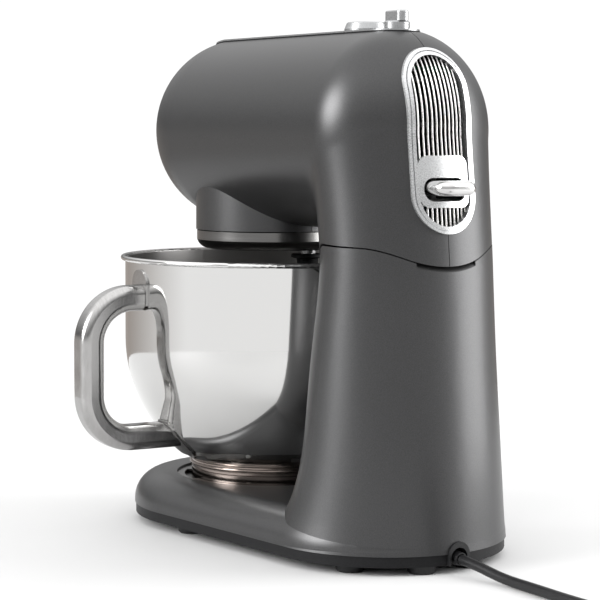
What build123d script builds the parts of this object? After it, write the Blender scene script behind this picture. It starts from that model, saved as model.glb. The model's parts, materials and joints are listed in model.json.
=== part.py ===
"""Tilt-head stand mixer: base and column, tilting head with its drive, planetary hub, whisk and bowl.

Frame while modelling: the bowl's axis is X = Y = 0, +X points to the nose, +Y to the bowl's handle,
+Z up, and the feet stand on Z = 0. The exported pieces are shifted so that the origin lies under the
middle of the whole machine.
"""
from build123d import *
import math
import os

os.makedirs("parts", exist_ok=True)

# ---------------------------------------------------------------- driving dimensions (mm, degrees)
# base
FOOT_HEIGHT = 5.8
BAND_TOP = 13.3
BASE_TOP = 37.0
BASE_EDGE_R = 21.0
FRONT_X, FRONT_R = 10.0, 98.0
REAR_X, REAR_R = -147.0, 86.5
CAST_WALL = 4.0
INSTEP_TOP = 110.0
SCREW_SPOTS = [(75, 40), (75, -40), (-60, 70), (-60, -70), (-190, 40), (-190, -40)]
SEAT_Z, SEAT_R = 32.5, 70.8
HEAD_R, HEAD_Z = 70.0, 296.0
# column and neck: height, centre, reach to the rear, half width, reach to the front
COLUMN_SECTIONS = [
    (BAND_TOP, REAR_X, REAR_R + 0.3, REAR_R + 0.3, 72.0),
    (60.4, -162.0, 69.0, 77.0, 44.0),
    (107.5, -167.0, 60.4, 72.3, 46.0),
    (154.6, -170.0, 53.9, 68.6, 47.5),
    (201.7, -173.0, 48.0, 65.5, 46.5),
    (248.9, -168.0, 48.6, 66.0, 46.0),
    (HEAD_Z, -160.0, 51.0, 69.5, 44.0),
]
# head
NOSE_X, TAIL_X, TAIL_LENGTH = 33.0, -160.0, 51.0
HEAD_WALL = 3.0
TOP_FLAT_Z = 363.4
STRIP_TOP = 365.4
STRIP_FRONT, STRIP_REAR, STRIP_HALF = -4.5, -173.0, 18.5
PARTING_GAP = 0.5
# tilt hinge and the seam that is centred on it
HINGE_X, HINGE_Z = -190.0, 149.0
SEAM_R = 75.0
SEAM_GAP = 0.9
SEAM_SHOULDER = (-206.5, 217.2)
SEAM_REAR_SLOPE = 0.9
PIN_R = 6.0
# drive
ORBIT_R, ORBIT_ANGLE = 32.0, 208.0
IDLER_X, MOTOR_X = -42.0, -72.0
RING_TEETH, PLANET_TEETH = 63, 15
MAIN_TEETH, IDLER_PINION_TEETH = 72, 12
IDLER_TEETH, MOTOR_TEETH = 50, 10
PLANET_MODULE = ORBIT_R / ((RING_TEETH - PLANET_TEETH) / 2)
TRAIN_MODULE = 1.0
COLLAR_R, COLLAR_BOTTOM = 56.3, 222.0
HUB_R, HUB_BOTTOM, HUB_TOP = 55.6, 207.5, 221.2
RUN_GAP = 0.05
# rear grille, release lever
GRILLE_LOW, GRILLE_HIGH, GRILLE_HALF = 227.0, 352.0, 26.5
RING_PROUD, RING_WIDE = 1.8, 5.0
SLAT_COUNT, SLAT_PITCH, SLAT_WIDTH = 11, 3.55, 1.3
PLATE_LOW, PLATE_HIGH = 244.6, 279.4
WINDOW_LOW, WINDOW_HIGH, WINDOW_HALF = 248.8, 264.6, 17.4
LEVER_X, LEVER_Z = -178.0, 258.0
LEVER_END, LEVER_HALF, LEVER_THICK = -234.0, 16.0, 10.0
SHELL_SCREWS = [(30, 318), (-60, 352), (-140, 300)]
# whisk
WHISK_LOOPS, WHISK_R, WHISK_LOW = 5, 46.0, 50.0
# controls on the top strip
DIAL_X, DIAL_R = -159.0, 9.0
CAP_X, CAP_R = -123.0, 15.4
# bowl
BOWL_R, BOWL_CENTRE_Z, BOWL_TOP = 109.8, 140.0, 200.6
BOWL_WALL = 1.2
BOWL_FLOOR_Z = 42.0
BEAD_R = 1.9
FOOT_RING_R, FOOT_RING_LOW = 59.6, 32.8
HANDLE_TURN = -3.0
HANDLE_Y, HANDLE_HIGH, HANDLE_LOW = 151.2, 173.6, 71.2
HANDLE_DEEP, HANDLE_WIDE = 18.6, 21.0
# bowl clamp in the base
CLAMP_TOP = 35.5
CLAMP_LIP_R, CLAMP_POCKET_R = 60.4, 65.0
CLAMP_SCREW_R = 67.7
CLAMP_SCREW_ANGLES = (10, 130, 250)
TAB_ANGLES = (30, 150, 270)
TWIST_RANGE = 35
# feet, as points on the +Y side
FOOT_SPOTS = [(65, 50), (-16, 79), (-188, 57), (-219, 20)]
STRIKE_X = -131.3
# mains lead
CORD_D = 7.0
CORD_EXIT_Z = 10.0
GROMMET_R, GROMMET_Z = 9.0, 12.4
COIL_OUTER_R, COIL_INNER_R = 48.5, 27.5
COIL_X, COIL_Y = -430.0, -45.0
COIL_LOW, COIL_TOP = 0.3, 14.3
PLUG_R, PLUG_LENGTH = 18.5, 34.0

# origin of the exported frame: middle of the machine without its lead
RIM_R = BOWL_R + 1.5 + BEAD_R
LOW_X, HIGH_X = LEVER_END, RIM_R
LOW_Y = -RIM_R
HIGH_Y = HANDLE_Y + HANDLE_DEEP / 2
ORIGIN = ((LOW_X + HIGH_X) / 2, (LOW_Y + HIGH_Y) / 2)


# ---------------------------------------------------------------- helpers
def save(name, *solids):
    """Write one node, moved from the modelling frame to the exported frame."""
    moved = [Pos(-ORIGIN[0], -ORIGIN[1], 0) * solid for solid in solids]
    export_step(moved[0] if len(moved) == 1 else Compound(moved), f"parts/{name}.step")


def block(x0, x1, y0, y1, z0, z1):
    """Box from its limits."""
    centre = ((x0 + x1) / 2, (y0 + y1) / 2, (z0 + z1) / 2)
    return Pos(*centre) * Box(x1 - x0, y1 - y0, z1 - z0)


def post(x, y, z0, z1, radius):
    """Upright cylinder."""
    return Pos(x, y, (z0 + z1) / 2) * Cylinder(radius, z1 - z0)


def tube(x, y, z0, z1, outer, inner):
    """Upright hollow cylinder."""
    return post(x, y, z0, z1, outer) - post(x, y, z0 - 1, z1 + 1, inner)


def rod_y(x, z, y0, y1, radius):
    """Cylinder along Y."""
    return Pos(x, (y0 + y1) / 2, z) * Rot(90, 0, 0) * Cylinder(radius, y1 - y0)


def spun(*outline):
    """Solid turned about Z from an outline of (radius, height) points."""
    face = make_face(Polyline(*[(r, 0, z) for r, z in outline], close=True))
    return revolve(face, Axis.Z)


def hull_of_circles(circles, z0, z1):
    """Upright prism round a row of (x, radius) circles."""
    outline = make_hull(Sketch(children=[Pos(x, 0) * Circle(r) for x, r in circles]).edges())
    return Pos(0, 0, z0) * extrude(outline, z1 - z0)


def racetrack(half, low, high):
    """Slot-shaped prism seen along X, on the rear of the head."""
    flat = Pos(0, (low + high) / 2) * Rectangle(2 * half, high - low)
    flat = fillet(flat.vertices(), half - 0.01)
    return Pos(-250, 0, 0) * extrude(Plane.YZ * flat, 110)


def rounded_x(half, low, high, radius):
    """Prism along X with a rounded rectangle outline, on the rear of the head."""
    flat = fillet((Pos(0, (low + high) / 2) * Rectangle(2 * half, high - low)).vertices(), radius)
    return Pos(-250, 0, 0) * extrude(Plane.YZ * flat, 110)


# ---------------------------------------------------------------- outer forms
def base_outline(inset, z0, z1):
    """Prism with the base's plan outline."""
    return hull_of_circles([(FRONT_X, FRONT_R - inset), (REAR_X, REAR_R - inset)], z0, z1)


def column_form(inset):
    """Solid column from the base to the middle of the head."""
    faces = []
    for z, centre, rear, half, front in COLUMN_SECTIONS:
        back = EllipticalCenterArc((centre, 0), rear - inset, half - inset, start_angle=90, arc_size=180)
        fore = EllipticalCenterArc((centre, 0), front - inset, half - inset, start_angle=270, arc_size=180)
        faces.append(Pos(0, 0, z) * make_face(back + fore))
    return loft(faces)


def below_seam(gap):
    """Everything under the seam between column and head; it turns clear about the hinge."""
    x, z = SEAM_SHOULDER
    rear_z = z + gap - SEAM_REAR_SLOPE * (x + 260)
    lines = Polyline((-260, 0), (-260, rear_z), (x, z + gap), (-50, z + 4.4 + gap), (-50, 0), close=True)
    disc = Pos(HINGE_X, HINGE_Z) * Circle(SEAM_R + gap)
    stem = Pos((-260 + HINGE_X + SEAM_R + gap) / 2, HINGE_Z / 2)
    stem = stem * Rectangle(HINGE_X + SEAM_R + gap + 260, HINGE_Z)
    stem = stem + Pos(-155, INSTEP_TOP / 2) * Rectangle(210, INSTEP_TOP)
    flank = Polyline((-260, 0), (-260, rear_z), (x, z + gap), (HINGE_X, z + gap), (HINGE_X, 0), close=True)
    flat = make_face(lines) & (disc + stem + make_face(flank))
    shoulder = flat.vertices().sort_by_distance((x, z + gap, 0))[0]
    flat = fillet(shoulder, 30)
    crest_x = HINGE_X + 27
    crest_z = HINGE_Z + math.sqrt((SEAM_R + gap) ** 2 - 27**2)
    crest = flat.vertices().sort_by_distance((crest_x, crest_z, 0))[0]
    flat = fillet(crest, 20)
    return Pos(0, 100, 0) * extrude(Plane.XZ * flat, 200)


def head_form(inset, seam):
    """Solid head: barrel, round nose, rounded tail and the neck above the seam."""
    radius = HEAD_R - inset
    barrel = Pos((NOSE_X + TAIL_X) / 2, 0, HEAD_Z) * Rot(0, -90, 0) * Cylinder(radius, NOSE_X - TAIL_X)
    nose = Pos(NOSE_X, 0, HEAD_Z) * Sphere(radius)
    tail = Pos(TAIL_X, 0, HEAD_Z) * scale(Sphere(radius), by=((TAIL_LENGTH - inset) / radius, 1, 1))
    neck = column_form(inset)
    if seam:
        neck = neck - below_seam(SEAM_GAP)
    else:
        neck = neck - block(-260, -90, -100, 100, 0, 150)
    form = barrel + nose + tail + neck
    return form - block(-260, 150, -100, 100, TOP_FLAT_Z - inset * 0.8, 400)



# ---------------------------------------------------------------- base and column
def ring_spots(radius, angles):
    """Points on a circle round the bowl's axis."""
    return [(radius * math.cos(math.radians(a)), radius * math.sin(math.radians(a))) for a in angles]


def sector(angle, half_angle, inner, outer, z0, z1):
    """Part of a ring, half_angle to each side of angle."""
    ring = spun((inner, z0), (outer, z0), (outer, z1), (inner, z1))
    far = ring_spots(2 * outer, (angle - half_angle, angle + half_angle))
    wedge = extrude(make_face(Polyline((0, 0), *far, close=True)), z1 - z0 + 2)
    return ring & (Pos(0, 0, z0 - 1) * wedge)


def cord_doorway():
    """Arched way out for the lead at the rear of casting and tray."""
    arch = Pos(0, GROMMET_Z) * Circle(GROMMET_R) + Pos(0, GROMMET_Z - 10) * Rectangle(2 * GROMMET_R, 20)
    return Pos(-245, 0, 0) * extrude(Plane.YZ * arch, 37)


def base_casting():
    """Painted base and column in one casting, hollow from below and open at the top."""
    slab = base_outline(0, BAND_TOP, BASE_TOP)
    slab = fillet(slab.edges().group_by(Axis.Z)[-1], BASE_EDGE_R)
    body = slab + (column_form(0) & below_seam(0))
    cavity = base_outline(CAST_WALL, BAND_TOP - 1, SEAT_Z - CAST_WALL)
    cavity = fillet(cavity.edges().group_by(Axis.Z)[-1], 12)
    body = body - cavity - column_form(CAST_WALL)
    body = body - post(0, 0, SEAT_Z, BASE_TOP + 30, SEAT_R)
    bosses = rod_y(HINGE_X, HINGE_Z, 37.5, 80, 15) + rod_y(HINGE_X, HINGE_Z, -80, -37.5, 15)
    body = body + (bosses & column_form(1))
    body = body - rod_y(HINGE_X, HINGE_Z, -58, 58, PIN_R)
    slot = (below_seam(0.1) - below_seam(-2.6)) & block(-240, -200, -25, 25, 150, 260)
    body = body - slot
    for x, y in SCREW_SPOTS:
        body = body + post(x, y, BAND_TOP, SEAT_Z - CAST_WALL + 0.5, 5)
        body = body - post(x, y, BAND_TOP - 1, BAND_TOP + 12, 1.5)
    for x, y in ring_spots(CLAMP_SCREW_R, CLAMP_SCREW_ANGLES):
        body = body - post(x, y, SEAT_Z - CAST_WALL - 1, SEAT_Z + 1, 1.5)
    return body - cord_doorway()


def base_plate():
    """Black tray that closes the base and shows as a band round its foot."""
    tray = base_outline(0.8, FOOT_HEIGHT, BAND_TOP - 0.1)
    tray = tray - base_outline(CAST_WALL + 1, FOOT_HEIGHT + 3, BAND_TOP + 1)
    for x, y in SCREW_SPOTS:
        tray = tray + post(x, y, FOOT_HEIGHT + 1, BAND_TOP - 0.1, 6)
        tray = tray - post(x, y, FOOT_HEIGHT - 1, FOOT_HEIGHT + 4, 3.4)
        tray = tray - post(x, y, FOOT_HEIGHT, BAND_TOP, 1.8)
    for x, y in FOOT_SPOTS:
        tray = tray - post(x, y, FOOT_HEIGHT - 1, FOOT_HEIGHT + 4, 3)
        tray = tray - post(x, -y, FOOT_HEIGHT - 1, FOOT_HEIGHT + 4, 3)
    return tray - cord_doorway()


def rubber_feet():
    """Four pairs of rubber feet with their plugs in the tray."""
    foot = spun(
        (0, 0), (8.6, 0), (9.6, 1.2), (10.2, FOOT_HEIGHT - 0.05), (2.95, FOOT_HEIGHT - 0.05),
        (2.95, FOOT_HEIGHT + 3.05), (4, FOOT_HEIGHT + 3.05), (4, FOOT_HEIGHT + 4), (0, FOOT_HEIGHT + 5),
    )
    return [Pos(x, side * y, 0) * foot for x, y in FOOT_SPOTS for side in (1, -1)]


def base_screws():
    """Screws that hold the tray to the casting."""
    low = FOOT_HEIGHT + 1.2
    tip = BAND_TOP + 11
    screw = spun((0, low), (3.2, low), (3.2, low + 2.6), (1.45, low + 2.6), (1.45, tip), (0, tip + 0.5))
    return [Pos(x, y, 0) * screw for x, y in SCREW_SPOTS]


def bowl_clamp():
    """Steel ring let into the base; its lip holds the bowl's three tabs."""
    rim = SEAT_R - 0.3
    lip_low = CLAMP_TOP - 1.2
    ring = spun((CLAMP_POCKET_R, SEAT_Z), (rim, SEAT_Z), (rim, CLAMP_TOP), (CLAMP_LIP_R, CLAMP_TOP),
                (CLAMP_LIP_R, lip_low), (CLAMP_POCKET_R, lip_low))
    for angle in TAB_ANGLES:
        ring = ring - sector(angle + TWIST_RANGE, 20, CLAMP_LIP_R - 3, CLAMP_POCKET_R, SEAT_Z, CLAMP_TOP + 1)
    for x, y in ring_spots(CLAMP_SCREW_R, CLAMP_SCREW_ANGLES):
        ring = ring - post(x, y, SEAT_Z - 1, CLAMP_TOP + 1, 1.6) - post(x, y, lip_low, CLAMP_TOP + 1, 2.5)
    return ring


def clamp_screws():
    """Flush screws of the bowl clamp."""
    low = SEAT_Z - CAST_WALL
    screw = spun((0, CLAMP_TOP - 0.8), (0.8, CLAMP_TOP - 0.8), (0.8, CLAMP_TOP - 0.1), (2.3, CLAMP_TOP - 0.2),
                 (2.3, CLAMP_TOP - 1.15), (1.45, CLAMP_TOP - 1.15), (1.45, low + 0.5), (0, low + 0.1))
    return [Pos(x, y, 0) * screw for x, y in ring_spots(CLAMP_SCREW_R, CLAMP_SCREW_ANGLES)]


def latch_strike():
    """Steel shelf on the column's front wall, under the release lever's pawl."""
    shelf = block(-157, STRIKE_X, -12, 12, 194, 197)
    leg = block(STRIKE_X - 3, STRIKE_X, -12, 12, 170, 197)
    return (shelf + leg) & rod_y(HINGE_X, HINGE_Z, -12, 12, SEAM_R - 1)


# ---------------------------------------------------------------- mains lead
def cord_grommet():
    """Rubber arch in the doorway."""
    arch = Pos(0, GROMMET_Z) * Circle(GROMMET_R - 0.1)
    height = GROMMET_Z - FOOT_HEIGHT
    arch = arch + Pos(0, FOOT_HEIGHT + height / 2) * Rectangle(2 * GROMMET_R - 0.2, height)
    arch = arch - Pos(0, CORD_EXIT_Z + 0.6) * Circle(6.8)
    arch = arch - Pos(0, 6) * Rectangle(2 * 6.8, 10)
    return Pos(-234.6, 0, 0) * extrude(Plane.YZ * arch, 6)


def strain_relief():
    """Tapered sleeve on the lead where it leaves the base."""
    sleeve = spun((CORD_D / 2 + 0.05, 0), (6.4, 0), (6.4, 6), (4.3, 25), (CORD_D / 2 + 0.05, 25))
    return Pos(-212, 0, CORD_EXIT_Z) * Rot(0, -90, 0) * sleeve


def cord_route():
    """Points along the middle of the lead, from inside the base to its coil."""
    floor = CORD_D / 2 + 0.3
    return [
        (-213.0, 0.0, CORD_EXIT_Z),
        (-237.0, 0.0, CORD_EXIT_Z),
        (-257.0, -0.8, 7.6),
        (-280.0, -2.0, floor),
        (-310.0, -1.0, floor),
        (-344.0, 1.6, floor),
        (-376.0, 1.8, floor),
        (-404.0, 0.0, floor),
        (-430.0, 0.0, floor),
    ]


def power_cord():
    """Lead from the base to the coil: straight runs joined by tangent arcs."""
    points = [Vector(*p) for p in cord_route()]
    radii = []
    for before, here, after in zip(points, points[1:], points[2:]):
        turn = (here - before).get_angle(after - here)
        shorter = min((here - before).length, (after - here).length)
        radii.append(0.45 * shorter / math.tan(math.radians(turn / 2)))
    print("cord bend radii", [round(r) for r in radii])
    path = FilletPolyline(*points, radius=radii)
    lead = sweep(Plane(origin=path @ 0, z_dir=path % 0) * Circle(CORD_D / 2), path)
    share = lead.volume / (math.pi * CORD_D**2 / 4 * path.length)
    print("cord length", round(path.length), "volume over section times length", round(share, 4))
    return lead


def cord_coil():
    """Rest of the lead as one solid: the wound turns and the end that rises to the plug."""
    low = [(COIL_INNER_R, COIL_LOW), (COIL_OUTER_R, COIL_LOW)]
    ring = spun(*low, (COIL_OUTER_R, COIL_TOP), (COIL_INNER_R, COIL_TOP))
    ring = Pos(COIL_X, COIL_Y, 0) * ring
    ring = ring - block(COIL_X, COIL_X + 60, COIL_Y, COIL_Y + 60, COIL_LOW - 1, COIL_LOW + CORD_D)
    return ring + lead_end()


def lead_end():
    """Last stretch of the lead, from the top of the coil to the plug."""
    x, y = COIL_X, COIL_Y
    rise = COIL_TOP + PLUG_R + 0.3
    path = FilletPolyline((x + 45, y - 22, COIL_TOP - 2), (x + 45, y + 4, COIL_TOP + 8),
                          (x + 30, y + 28, rise - 3), (x + 8, y + 30, rise), radius=14)
    return sweep(Plane(origin=path @ 0, z_dir=path % 0) * Circle(CORD_D / 2), path)


def plug_frame():
    """Place of the plug: its tail meets the lead and its pins point to -X."""
    return Pos(COIL_X + 8, COIL_Y + 30, COIL_TOP + PLUG_R + 0.3) * Rot(0, -90, 0)


def plug_body():
    """Round two-pin mains plug with earth contacts left plain."""
    end = 14 + PLUG_LENGTH
    body = spun((0, 0), (5, 0), (8, 14), (PLUG_R - 3, 18), (PLUG_R, 21), (PLUG_R, end), (0, end))
    return plug_frame() * body


def plug_pins():
    """Two round pins."""
    pin = spun((0, 0), (2.4, 0), (2.4, 17.5), (1.4, 19), (0, 19))
    return [plug_frame() * Pos(0, side * 9.5, 14 + PLUG_LENGTH) * pin for side in (1, -1)]


# ---------------------------------------------------------------- head shells and trim
def head_shells():
    """Left and right halves of the painted head, parted along its middle."""
    outer = head_form(0, True) + post(0, 0, COLLAR_BOTTOM, 262, COLLAR_R)
    shell = outer - head_form(HEAD_WALL, False) - post(0, 0, COLLAR_BOTTOM - 1, 262, COLLAR_R - 3)
    for x, z in SHELL_SCREWS:
        shell = shell + (rod_y(x, z, -75, 75, 4.5) & head_form(1, False))
        shell = shell - rod_y(x, z, -30, 30, 1.5)
    shell = shell - grille_outline(2.5)
    shell = shell - post(DIAL_X, 0, 355, 370, 3.6) - post(CAP_X, 0, 355, 370, 9.4)
    half_gap = PARTING_GAP / 2
    left = shell - block(-260, 150, -100, half_gap, 100, 400)
    right = shell - block(-260, 150, -half_gap, 100, 100, 400)
    return left, right


def shell_screws():
    """Screws across the parting line of the head."""
    screw = spun((0, -29), (1.45, -29), (1.45, 29), (0, 29))
    return [Pos(x, 0, z) * Rot(90, 0, 0) * screw for x, z in SHELL_SCREWS]


def top_strip():
    """Satin strip let in along the top of the head."""
    length = STRIP_FRONT - STRIP_REAR
    flat = Pos((STRIP_FRONT + STRIP_REAR) / 2, 0) * Rectangle(length, 2 * STRIP_HALF)
    flat = fillet(flat.vertices(), STRIP_HALF - 0.1)
    strip = Pos(0, 0, TOP_FLAT_Z) * extrude(flat, STRIP_TOP - TOP_FLAT_Z)
    strip = chamfer(strip.edges().group_by(Axis.Z)[-1], 0.6)
    return strip - post(DIAL_X, 0, 355, 370, 3.6) - post(CAP_X, 0, 355, 370, 9.4)


def grille_outline(inset):
    """Prism of the grille's outline, brought in by an inset."""
    return racetrack(GRILLE_HALF - inset, GRILLE_LOW + inset, GRILLE_HIGH - inset)


def grille_frame():
    """Satin ring round the rear grille, with a groove round it and a lip through the shell."""
    rear = block(-250, -140, -40, 40, 215, 360)
    hood = (head_form(-RING_PROUD, False) - head_form(-0.02, False)) & rear
    ring = hood & (grille_outline(0) - grille_outline(RING_WIDE))
    groove = grille_outline(1.8) - grille_outline(2.6)
    ring = ring - (groove - head_form(-0.7, False))
    lip = (head_form(-0.5, False) - head_form(4.2, False)) & rear
    lip = lip & (grille_outline(2.7) - grille_outline(RING_WIDE))
    return ring + lip


def grille_slats():
    """Upright slats that follow the tail, tied by cross ribs behind them."""
    inside = grille_outline(RING_WIDE + 0.05)
    skin = (head_form(1.0, False) - head_form(3.8, False)) & inside
    middle = (SLAT_COUNT - 1) / 2
    places = [(k - middle) * SLAT_PITCH for k in range(SLAT_COUNT)]
    bars = [block(-250, -140, y - SLAT_WIDTH / 2, y + SLAT_WIDTH / 2, 220, 360) for y in places]
    slats = skin & Compound(children=bars)
    ties = (head_form(3.6, False) - head_form(5.2, False)) & inside
    ribs = [block(-250, -140, -30, 30, z - 1.5, z + 1.5) for z in (236, 270, 300, 330)]
    grille = slats + (ties & Compound(children=ribs))
    return grille - rounded_x(WINDOW_HALF, WINDOW_LOW, WINDOW_HIGH, 7.4)


def release_plate():
    """Satin plate round the release lever."""
    skin = head_form(-0.8, False) - head_form(0.95, False)
    plate = skin & rounded_x(21.2, PLATE_LOW, PLATE_HIGH, 8.5)
    return plate - rounded_x(WINDOW_HALF, WINDOW_LOW, WINDOW_HIGH, 7.4)


# ---------------------------------------------------------------- inside the head
def head_frame():
    """Cast frame: deck, two hinge arms and the ears of the release lever."""
    deck = block(-192, -88, -36, 36, 245, 249) - block(-159, -141, -9, 9, 240, 252)
    arm = Polyline((-184, 160), (-163, 213), (-163, 246), (-140, 246), (-140, 205), (-178, 143), close=True)
    arm = make_face(arm) + Pos(HINGE_X, HINGE_Z) * Circle(14)
    for y in (31, -24):
        deck = deck + Pos(0, y, 0) * extrude(Plane.XZ * arm, 7)
    for y in (12, -16):
        deck = deck + block(LEVER_X - 6, LEVER_X + 6, y, y + 4, 248, 264)
    deck = deck - rod_y(HINGE_X, HINGE_Z, -60, 60, 8.5) - rod_y(LEVER_X, LEVER_Z, -30, 30, 3)
    for y in (-12, 12):
        deck = deck - post(-96, y, 244, 252, 1.5)
    return deck


def frame_screws():
    """Screws that hold the gear case to the frame."""
    shank = [(0, 245.5), (1.45, 245.5), (1.45, 252.1)]
    screw = spun(*shank, (3, 252.1), (3, 254.4), (1.2, 254.4), (1.2, 253), (0, 253))
    return [Pos(-96, y, 0) * screw for y in (-12, 12)]


def hinge_bushes():
    """Bronze bushes of the hinge arms."""
    bush = rod_y(HINGE_X, HINGE_Z, 24, 31, 8.45) - rod_y(HINGE_X, HINGE_Z, 20, 35, PIN_R + RUN_GAP)
    return [bush, Pos(0, -55, 0) * bush]


def gear_row(inset, z0, z1):
    """Prism over the output shaft, the idler and the motor shaft."""
    return hull_of_circles([(0, 40.5 - inset), (IDLER_X, 30 - inset), (MOTOR_X, 13 - inset)], z0, z1)


def gear_case():
    """Aluminium case below the gear train; its disc closes the collar."""
    case = post(0, 0, 235, 239, COLLAR_R - 3.5) + gear_row(0, 238.5, 262)
    case = case - gear_row(2.5, 241.5, 263)
    case = case + post(0, 0, 227, 239, 17) + post(IDLER_X, 0, 241, 243.2, 7)
    case = case + block(-104, -83.5, -18, 18, 249.05, 252)
    case = case - gear_row(2.5, 243.3, 262)
    case = case - post(0, 0, 220, 260, 8) - post(0, 0, 220, 236.05, 13.05)
    case = case - post(IDLER_X, 0, 239.9, 250, 4.05)
    for y in (-12, 12):
        case = case - post(-96, y, 244, 256, 1.6)
    return case


def gear_cover():
    """Lid of the gear case, which also carries the motor."""
    lid = gear_row(0, 262.05, 265) + post(MOTOR_X, 0, 262.05, 265, 33)
    lid = lid + post(0, 0, 259.8, 267, 15.5) + post(IDLER_X, 0, 259.8, 265, 7)
    lid = lid - post(0, 0, 255, 270, 13.05) - post(IDLER_X, 0, 255, 262.2, 4.05)
    return lid - post(MOTOR_X, 0, 255, 270, 8.05)


def involute(angle):
    """Involute function of a pressure angle in radians."""
    return math.tan(angle) - angle


def gear_face(teeth, module, tip, root, thin, phase):
    """Gear outline; tip and root count from the pitch circle, thin is taken off each tooth."""
    pitch_r = teeth * module / 2
    base_r = pitch_r * math.cos(math.radians(20))
    tip_r = pitch_r + tip
    root_r = pitch_r - root
    low_r = max(base_r, root_r)
    steps = [low_r + (tip_r - low_r) * k / 3 for k in range(4)]
    flank = [(root_r, low_r)] if root_r < base_r else []
    flank = flank + [(r, r) for r in steps]
    points = []
    for tooth in range(teeth):
        middle = math.radians(phase) + 2 * math.pi * tooth / teeth
        sides = []
        for r, at in flank:
            half = math.pi / (2 * teeth) - thin / (2 * pitch_r) + involute(math.radians(20))
            half = half - involute(math.acos(min(1, base_r / at)))
            sides.append((r, half))
        points += [(r * math.cos(middle - half), r * math.sin(middle - half)) for r, half in sides]
        points += [(r * math.cos(middle + half), r * math.sin(middle + half)) for r, half in reversed(sides)]
    return make_face(Polyline(*points, close=True))


def gear(x, y, z0, z1, face, bore):
    """Gear with a plain bore."""
    return Pos(x, y, z0) * extrude(face - Circle(bore), z1 - z0)


def orbit_spot():
    """Where the tool's shaft stands at rest."""
    return ring_spots(ORBIT_R, (ORBIT_ANGLE,))[0]


def ring_gear():
    """Internal gear in the collar."""
    spaces = gear_face(RING_TEETH, PLANET_MODULE, 1.45, 0.9, -0.1, ORBIT_ANGLE)
    return Pos(0, 0, 225.5) * extrude(Circle(50) - spaces, 9.45)


def output_bearings():
    """Ball bearings of the output shaft as closed rings."""
    return [tube(0, 0, 228, 235.9, 13, 7 + RUN_GAP), tube(0, 0, 260.5, 266.5, 13, 7 + RUN_GAP)]


def motor_bearings():
    """Ball bearings of the motor shaft."""
    return [tube(MOTOR_X, 0, 262.1, 264.9, 8, 3 + RUN_GAP), tube(MOTOR_X, 0, 323, 326.9, 8, 3 + RUN_GAP)]


def motor_housing():
    """Steel can of the motor with its upper end shield."""
    can = tube(MOTOR_X, 0, 265.05, 327, 33, 31)
    shield = tube(MOTOR_X, 0, 323, 327, 32, 8.05)
    for angle in range(0, 360, 60):
        spot = Pos(MOTOR_X, 0, 0) * Rot(0, 0, angle) * post(20, 0, 322, 328, 5)
        shield = shield - spot
    return can + shield


def motor_stator():
    """Laminated field of the motor with its two coils left out of sight in the bore."""
    return tube(MOTOR_X, 0, 275, 306, 30.9, 20)


def motor_brushes():
    """Two carbon brushes in their holders."""
    brush = block(MOTOR_X - 3, MOTOR_X + 3, 8.2, 20, 312, 317)
    holder = block(MOTOR_X - 5, MOTOR_X + 5, 12, 30.4, 310, 319)
    pair = brush + holder
    return [pair, Pos(2 * MOTOR_X, 0, 0) * Rot(0, 0, 180) * pair]


def control_board():
    """Circuit board of the speed control."""
    board = block(-184, -124, -26, 26, 338, 339.6)
    for y in (-14, 14):
        board = board + post(-132, y, 339.6, 350, 5)
    return board + block(-150, -140, -20, 20, 339.6, 346)


def speed_encoder():
    """Rotary switch between the board and the top of the head."""
    return post(DIAL_X, 0, 339.65, 360.8, 7.5) - post(DIAL_X, 0, 348, 362, 3 + RUN_GAP)


def lever_pin():
    """Pin of the release lever."""
    return rod_y(LEVER_X, LEVER_Z, -16, 21, 2.95)


def lever_spring():
    """Torsion spring on the end of the lever's pin."""
    coil = Helix(pitch=1.3, height=3.6, radius=3.9)
    wire = sweep(Plane(origin=coil @ 0, z_dir=coil % 0) * Circle(0.45), coil)
    return Pos(LEVER_X, 16.6, LEVER_Z) * Rot(-90, 0, 0) * wire


def release_lever():
    """Polished tongue at the rear, its arm and the pawl behind the column's strike."""
    flat = Pos((LEVER_END - 190) / 2, 0) * Rectangle(-190 - LEVER_END, 2 * LEVER_HALF)
    ends = flat.vertices().sort_by(Axis.X)[:2]
    flat = fillet(ends, 8)
    tongue = Pos(0, 0, 252.8) * extrude(flat, LEVER_THICK)
    tongue = fillet(tongue.edges().group_by(Axis.Z)[-1] + tongue.edges().group_by(Axis.Z)[0], 3)
    arm = block(-191, -146, -6.5, 6.5, 254, 262) + rod_y(LEVER_X, LEVER_Z, -10, 10, 7)
    pawl = block(-154, -146, -6.5, 6.5, 199.5, 262)
    return tongue + arm + pawl - rod_y(LEVER_X, LEVER_Z, -12, 12, 3)


# ---------------------------------------------------------------- controls
def speed_dial():
    """Round speed knob with a grip bar across it."""
    knob = spun((0, 365.5), (DIAL_R, 365.5), (DIAL_R, 370.2), (DIAL_R - 1, 371.2), (0, 371.2))
    bar = fillet(Box(20, 9, 7.2).edges().filter_by(Axis.Z), 4.2)
    bar = fillet(bar.faces().sort_by(Axis.Z)[-1].edges(), 1.2)
    knob = knob + Pos(0, 0, 378.4 - 3.6) * bar
    shaft = post(0, 0, 350, 366, 3)
    return Pos(DIAL_X, 0, 0) * (knob + shaft)


def outlet_cap():
    """Cap of the attachment outlet on the top strip."""
    cap = spun((0, 365.5), (CAP_R, 365.5), (CAP_R, 367), (CAP_R - 1.6, 371), (CAP_R - 2.6, 371.8), (0, 371.8))
    plug = tube(0, 0, 357.5, 366, 9, 7)
    return Pos(CAP_X, 0, 0) * (cap + plug)


# ---------------------------------------------------------------- motor rotor and gear train
def motor_shaft():
    """Rotor shaft."""
    return post(MOTOR_X, 0, 252, 336, 3)


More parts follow.
